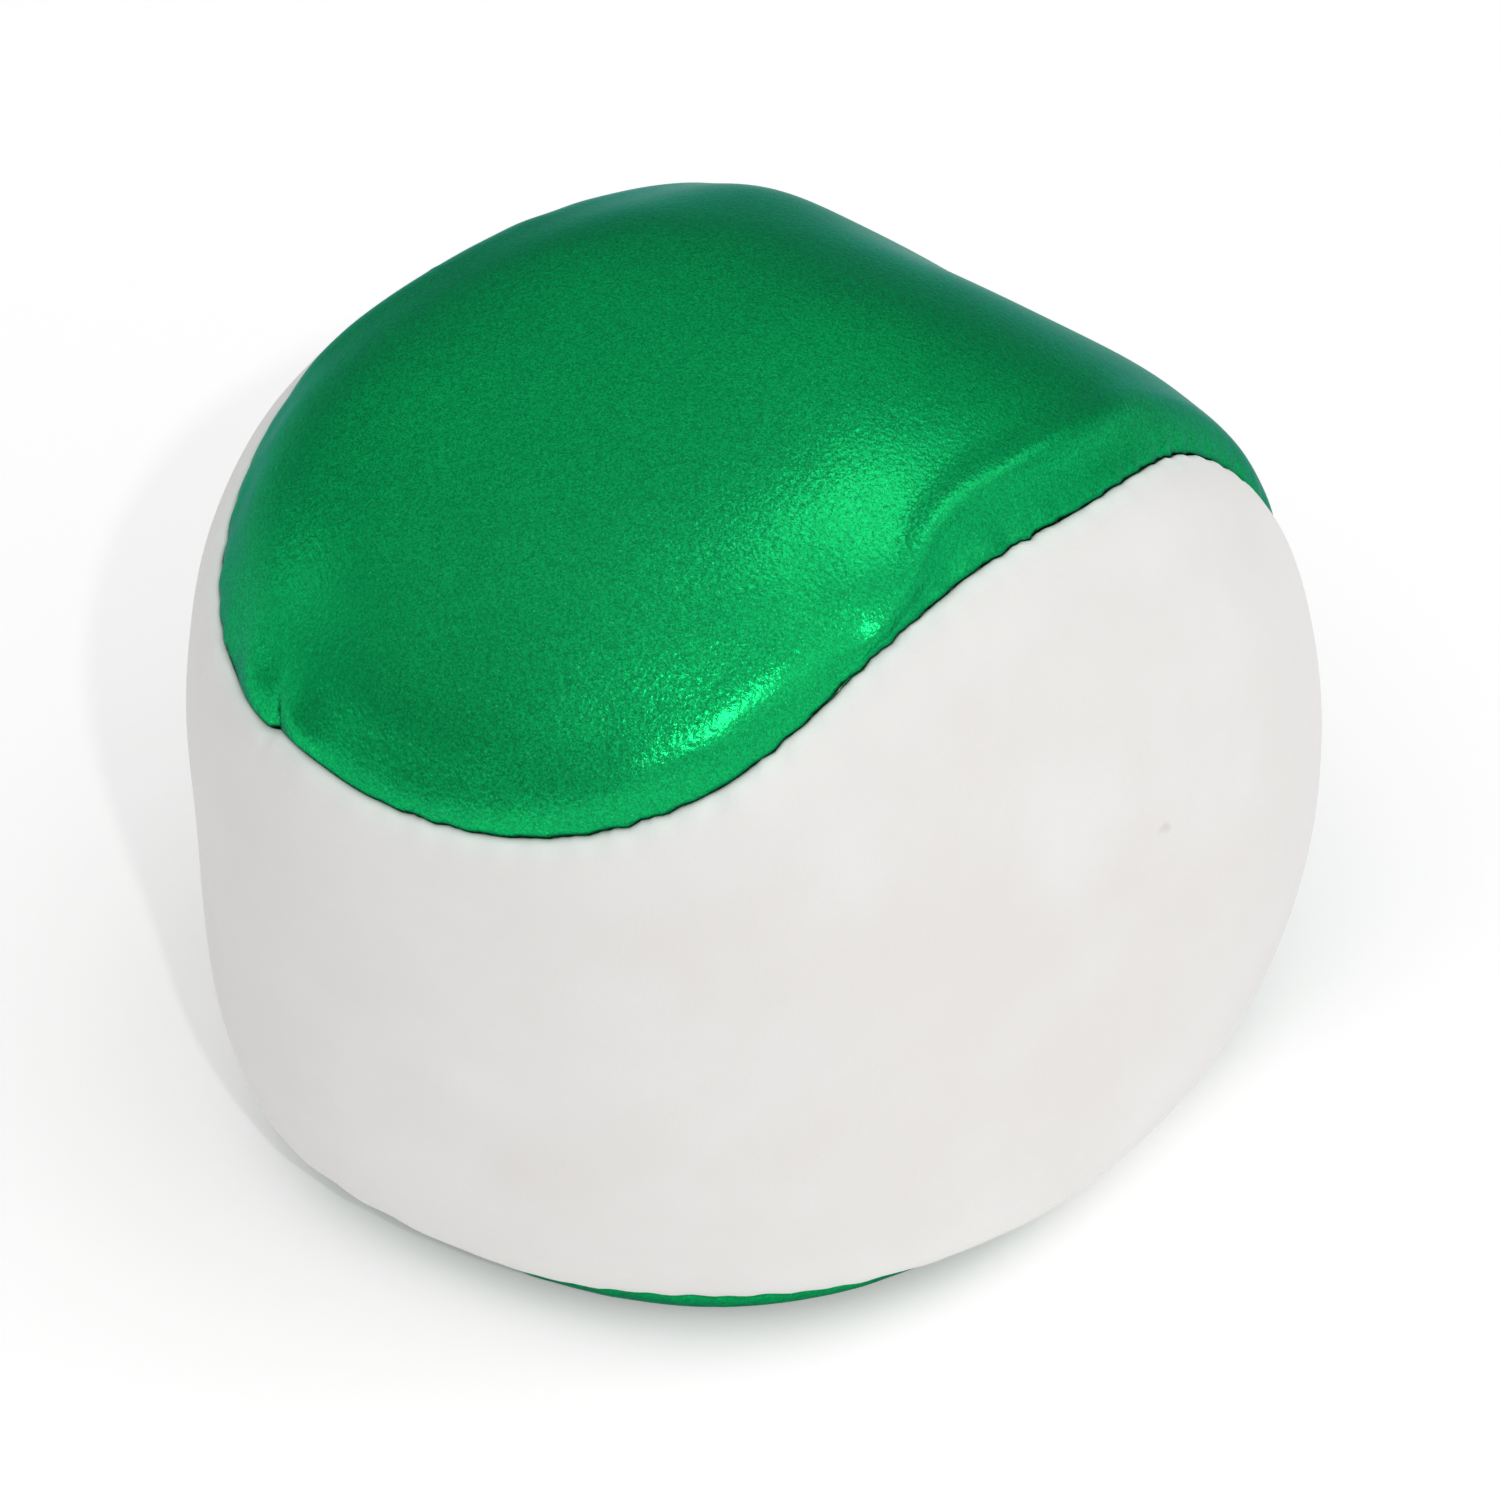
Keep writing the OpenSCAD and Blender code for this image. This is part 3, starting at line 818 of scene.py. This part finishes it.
def thread_tree():
    """A twisted two-ply thread along a line. The line's points say which way is down into the
    seam and aside in it, and how many stitches have passed."""
    tree, given, result = geometry_tree("lockstitch thread", [
        ("Thickness", "NodeSocketFloat", THREAD), ("Lie", "NodeSocketFloat", 0.9 * MM),
        ("Rise", "NodeSocketFloat", 0.45 * MM), ("Aside", "NodeSocketFloat", 0.16 * MM),
        ("First", "NodeSocketFloat", 0.0), ("Twist", "NodeSocketFloat", 0.9 * MM),
        ("Material", "NodeSocketMaterial", None)])

    def stored(label, kind):
        return made_by(tree, "GeometryNodeInputNamedAttribute", {"Name": label}, data_type=kind)

    passed = maths(tree, "ADD", stored("stitches", "FLOAT"), given.outputs["First"])
    wave = maths(tree, "COSINE", maths(tree, "MULTIPLY", passed, 2 * PI))
    lift = maths(tree, "POWER", maths(tree, "MAXIMUM", wave, 0.0), 3.0)
    rise = maths(tree, "MULTIPLY", lift, given.outputs["Rise"])
    down = maths(tree, "SUBTRACT", given.outputs["Lie"], rise)
    spread = maths(tree, "SUBTRACT", 1.0, maths(tree, "MULTIPLY", lift, 0.8))
    aside = maths(tree, "MULTIPLY", given.outputs["Aside"], spread)
    offset = vectors(tree, "ADD", vectors(tree, "SCALE", stored("down", "FLOAT_VECTOR"), down),
                     vectors(tree, "SCALE", stored("aside", "FLOAT_VECTOR"), aside))
    line = made_by(tree, "GeometryNodeMeshToCurve", {"Mesh": given.outputs["Geometry"]})
    line = made_by(tree, "GeometryNodeSetPosition", {"Geometry": line, "Offset": offset})
    line = made_by(tree, "GeometryNodeResampleCurve", {"Curve": line, "Length": THREAD_STEP},
                   mode="LENGTH")
    length = add(tree, "GeometryNodeSplineParameter").outputs["Length"]
    turn = maths(tree, "MULTIPLY", maths(tree, "DIVIDE", length, given.outputs["Twist"]), 2 * PI)
    line = made_by(tree, "GeometryNodeSetCurveTilt", {"Curve": line, "Tilt": turn})
    radius = maths(tree, "DIVIDE", given.outputs["Thickness"], 2.0)
    ring = made_by(tree, "GeometryNodeCurvePrimitiveCircle",
                   {"Resolution": THREAD_SIDES, "Radius": radius}, mode="RADIUS")
    at = made_by(tree, "GeometryNodeInputPosition")
    flatter = vectors(tree, "MULTIPLY", at, (1.0, 0.66, 1.0))
    ring = made_by(tree, "GeometryNodeSetPosition", {"Geometry": ring, "Position": flatter})
    tube = made_by(tree, "GeometryNodeCurveToMesh", {
        "Curve": line, "Profile Curve": ring, "Fill Caps": True})
    tube = made_by(tree, "GeometryNodeSetShadeSmooth", {"Geometry": tube})
    tube = made_by(tree, "GeometryNodeRealizeInstances", {"Geometry": tube})
    tube = made_by(tree, "GeometryNodeSetMaterial", {
        "Geometry": tube, "Material": given.outputs["Material"]})
    tree.links.new(tube, result.inputs["Geometry"])
    return tree


def seam_line(start, end, steps):
    """A line of points at the bottom of the seam's groove, with the ways down and aside."""
    s = np.linspace(start, end, steps)
    u = np.interp(np.mod(s, SEAM_LENGTH), seam_lengths, seam_steps)
    at, out, aside = seam_frame(seam_place(u))
    points = at - out * rolled(np.zeros(steps), s)[:, None] + aside * sideways(s)[:, None]
    return points, -out, aside, s


def line_mesh(name, points, down, aside, stitches):
    mesh = bpy.data.meshes.new(name)
    mesh.from_pydata([tuple(p) for p in points], [(k, k + 1) for k in range(len(points) - 1)], [])
    for label, value in (("down", down), ("aside", aside)):
        stored = mesh.attributes.new(label, "FLOAT_VECTOR", "POINT")
        stored.data.foreach_set("vector", value.astype(np.float32).ravel())
    stored = mesh.attributes.new("stitches", "FLOAT", "POINT")
    stored.data.foreach_set("value", stitches.astype(np.float32))
    return mesh


def machine_thread(name, side, first, material):
    start = opening_start + OPENING_LENGTH + 0.5 * MM
    end = opening_start + SEAM_LENGTH - 0.5 * MM
    points, down, aside, s = seam_line(start, end, STITCHES * 10)
    mesh = line_mesh(name + "_line", points, down, aside, stitch_count(s))
    return grown(name, mesh, THREAD_TREE, material, Aside=side * 0.17 * MM, First=first)


def swept(points, downs, radii):
    """A closed round tube along a line of points."""
    sides = THREAD_SIDES
    along = unit(np.gradient(points, axis=0))
    v = unit(np.cross(along, downs))
    w = np.cross(v, along)
    turns = 2 * PI * np.arange(sides) / sides
    rings = (points[:, None] + (v[:, None] * np.cos(turns)[None, :, None]
             + w[:, None] * np.sin(turns)[None, :, None]) * np.asarray(radii)[:, None, None])
    count = len(points)
    faces = []
    for i in range(count - 1):
        low, high = i * sides, (i + 1) * sides
        for k in range(sides):
            after = (k + 1) % sides
            faces.append([low + k, low + after, high + after, high + k])
    faces += [list(range(sides))[::-1], list(range((count - 1) * sides, count * sides))]
    return rings.reshape(-1, 3), faces


def closing_thread(material):
    """Ladder stitches by hand across the opening, with a knot at each end."""
    inset = 0.6 * MM
    start, end = opening_start + inset, opening_start + OPENING_LENGTH - inset
    points, down, aside, s = seam_line(start, end, HAND_THREAD_STEPS)
    rungs = (s - s[0]) / HAND_STITCH
    swing = np.clip(3.0 * np.sin(PI * rungs), -1, 1) * 0.19 * MM
    lie = (0.55 + 0.25 * np.cos(2 * PI * rungs)) * MM
    line = points + aside * swing[:, None] + down * lie[:, None]
    near_end = np.minimum(s - s[0], s[-1] - s)
    knot = np.exp(-(((near_end - 0.5 * MM) / (0.22 * MM)) ** 2))
    ends = ease(near_end / (0.1 * MM)) * 0.7 + 0.3
    radii = (THREAD / 2 + knot * 0.12 * MM) * ends
    coil = knot[:, None] * 0.05 * MM
    wound = (near_end / MM * 40)[:, None]
    line += aside * np.sin(wound) * coil + down * np.cos(wound) * coil
    piece = new_piece("closing_thread_sewn", *swept(line, down, radii))
    piece.data.materials.append(material)
    return piece


def pellet_tree():
    """A pellet at every point, each turned and sized its own way."""
    tree, given, result = geometry_tree("loose pellets", [
        ("Pellet size", "NodeSocketFloat", GRANULE), ("Seed", "NodeSocketInt", 7),
        ("Material", "NodeSocketMaterial", None)])
    radius = maths(tree, "DIVIDE", given.outputs["Pellet size"], 2.0)
    pellet = made_by(tree, "GeometryNodeMeshIcoSphere", {"Radius": radius, "Subdivisions": 2})
    at = made_by(tree, "GeometryNodeInputPosition")
    squat = vectors(tree, "MULTIPLY", at, (1.0, 0.92, 0.74))
    pellet = made_by(tree, "GeometryNodeSetPosition", {"Geometry": pellet, "Position": squat})

    def chance(kind, low, high, more):
        node = add(tree, "FunctionNodeRandomValue", data_type=kind)
        socket = {"FLOAT": (2, 3), "FLOAT_VECTOR": (0, 1)}[kind]
        node.inputs[socket[0]].default_value = low
        node.inputs[socket[1]].default_value = high
        tree.links.new(maths(tree, "ADD", given.outputs["Seed"], more), node.inputs["Seed"])
        return node.outputs[{"FLOAT": 1, "FLOAT_VECTOR": 0}[kind]]

    turn = chance("FLOAT_VECTOR", (0, 0, 0), (2 * PI, 2 * PI, 2 * PI), 0.0)
    size = chance("FLOAT", 0.86, 1.0, 1.0)
    places = made_by(tree, "GeometryNodeMeshToPoints", {"Mesh": given.outputs["Geometry"]})
    placed = made_by(tree, "GeometryNodeInstanceOnPoints", {
        "Points": places, "Instance": pellet, "Rotation": turn, "Scale": size})
    whole = made_by(tree, "GeometryNodeRealizeInstances", {"Geometry": placed})
    whole = made_by(tree, "GeometryNodeSetShadeSmooth", {"Geometry": whole})
    whole = made_by(tree, "GeometryNodeSetMaterial", {
        "Geometry": whole, "Material": given.outputs["Material"]})
    tree.links.new(whole, result.inputs["Geometry"])
    return tree


def granules(material):
    """Pellets heaped close together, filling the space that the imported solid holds."""
    solid = bpy.data.objects["granules"].data
    space = BVHTree.FromPolygons([v.co for v in solid.vertices],
                                 [p.vertices for p in solid.polygons])
    lo, hi = (np.array(v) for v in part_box("granules"))
    pitch = GRANULE * 1.02
    layer_pitch = pitch * 0.8165  # balls in close packing, one layer above the next
    row_pitch = pitch * 0.866
    chance = np.random.default_rng(8)
    places = []
    for k in range(int((hi[2] - lo[2]) / layer_pitch) + 1):
        z = lo[2] + (k + 0.5) * layer_pitch
        for j in range(int((hi[1] - lo[1]) / row_pitch) + 2):
            y = lo[1] + (j + (k % 2) / 3) * row_pitch
            for i in range(int((hi[0] - lo[0]) / pitch) + 2):
                x = lo[0] + (i + 0.5 * (j % 2) + 0.5 * (k % 2)) * pitch
                at = Vector(np.array([x, y, z]) + chance.normal(size=3) * pitch * 0.03)
                near, normal, _, distance = space.find_nearest(at)
                if (at - near).dot(normal) < 0 and distance > GRANULE / 2:
                    places.append(at)
    mesh = bpy.data.meshes.new("granule_places")
    mesh.from_pydata(places, [], [])
    return grown("plastic_granules", mesh, PELLET_TREE, material, Seed=7)


# ---- building --------------------------------------------------------------------------------
def finish_piece(piece, node, material=None):
    if material is not None:
        piece.data.materials.append(material)
    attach(piece, "root")
    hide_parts(node)


THREAD_TREE = thread_tree()
PELLET_TREE = pellet_tree()

green = build_face("green_leather_panel", False)
white = build_face("white_leather_panel", True)
finish_piece(green, "green_panel", green_leather())
finish_piece(white, "white_panel", white_leather())
green_back = build_backing("green_panel_backing", False)
white_back = build_backing("white_panel_backing", True)
finish_piece(green_back, "green_backing",
             knit_backing("knit behind green", (0.62, 0.66, 0.58, 1), (0.40, 0.45, 0.38, 1)))
finish_piece(white_back, "white_backing",
             knit_backing("knit behind white", (0.72, 0.70, 0.64, 1), (0.50, 0.48, 0.43, 1)))
needle = machine_thread("needle_thread_sewn", 1.0, 0.0,
                        sewing_thread("white sewing thread", (0.82, 0.84, 0.80, 1), (0.62, 0.66, 0.60, 1)))
bobbin = machine_thread("bobbin_thread_sewn", -1.0, 0.5,
                        sewing_thread("green sewing thread", (0.05, 0.32, 0.16, 1), (0.02, 0.18, 0.08, 1)))
finish_piece(needle, "needle_thread")
finish_piece(bobbin, "bobbin_thread")
closing = closing_thread(sewing_thread("brown hand thread", (0.30, 0.14, 0.09, 1), (0.16, 0.07, 0.045, 1)))
finish_piece(closing, "closing_thread")
pellets = granules(plastic_granules())
finish_piece(pellets, "granules")


# ---- floor, light and camera -------------------------------------------------------------------
def pale_floor():
    made, _, look = new_material("plain pale floor")
    look.inputs["Base Color"].default_value = (0.94, 0.94, 0.94, 1)
    look.inputs["Roughness"].default_value = 0.9
    look.inputs["Emission Color"].default_value = (1, 1, 1, 1)
    look.inputs["Emission Strength"].default_value = 0.17
    look.inputs["Specular IOR Level"].default_value = 0.1
    return made


def stand_on_floor():
    shape = bmesh.new()
    bmesh.ops.create_grid(shape, x_segments=8, y_segments=8, size=3.0)
    mesh = bpy.data.meshes.new("floor")
    shape.to_mesh(mesh)
    shape.free()
    floor = put_in_scene(bpy.data.objects.new("floor", mesh))
    mesh.transform(Matrix.Translation((0, 0, CAD_BOX[0][2] - 0.02 * MM)))
    mesh.materials.append(pale_floor())


def soft_light(name, azimuth, height, distance, size, power):
    """A round light, aimed at the bag: where it is, and its distance, size and power."""
    lamp = bpy.data.lights.new(name, "AREA")
    lamp.shape = "DISK"
    lamp.size = size
    lamp.energy = power
    light = put_in_scene(bpy.data.objects.new(name, lamp))
    away = Vector(direction(azimuth, height))
    light.location = away * distance + Vector((0, 0, REST_HEIGHT))
    light.rotation_euler = away.to_track_quat("Z", "Y").to_euler()


def studio():
    """A pale room that is brighter overhead and on the right, and its lights."""
    world = bpy.data.worlds.new("studio")
    bpy.context.scene.world = world
    world.use_nodes = True
    tree = world.node_tree
    backdrop = tree.nodes["Background"]
    backdrop.inputs["Color"].default_value = (1, 1, 1, 1)
    way = add(tree, "ShaderNodeTexCoord").outputs["Generated"]
    way = add(tree, "ShaderNodeSeparateXYZ", {"Vector": way})

    def towards(axis, strength):
        return maths(tree, "MULTIPLY", maths(tree, "MAXIMUM", way.outputs[axis], 0.0), strength)

    glow = maths(tree, "ADD", towards("Z", 0.36), towards("X", 0.50))
    glow = maths(tree, "ADD", glow, 0.37)
    tree.links.new(glow, backdrop.inputs["Strength"])
    soft_light("ceiling light", 150, 72, 0.9, 0.4, 0.58)
    soft_light("window", 100, 25, 0.9, 0.5, 0.2)
    soft_light("back window", 145, 42, 0.9, 0.4, 0.3)
    soft_light("left window", -65, 15, 0.9, 0.35, 0.22)
    soft_light("lamp", 58, 39, 1.0, 0.03, 1.5)


def look_at_bag():
    """The main view, from the front right and above."""
    azimuth, height, distance = 43.6, 37.6, 0.3325
    back = Vector(direction(azimuth, height))
    lens = bpy.data.cameras.new("camera")
    lens.lens = 138.1
    lens.sensor_width = 36
    lens.clip_start = 0.01
    camera = put_in_scene(bpy.data.objects.new("camera", lens))
    turn = back.to_track_quat("Z", "Y")
    aside, up = turn @ Vector((1, 0, 0)), turn @ Vector((0, 1, 0))
    middle = Vector((STAND[0], STAND[1], STAND[2] + REST_HEIGHT))
    camera.location = middle + back * distance + aside * 1.3 * MM - up * 2.3 * MM
    camera.rotation_euler = turn.to_euler()
    bpy.context.scene.camera = camera


stand_on_floor()
studio()
look_at_bag()
bpy.context.scene.view_settings.view_transform = "Standard"
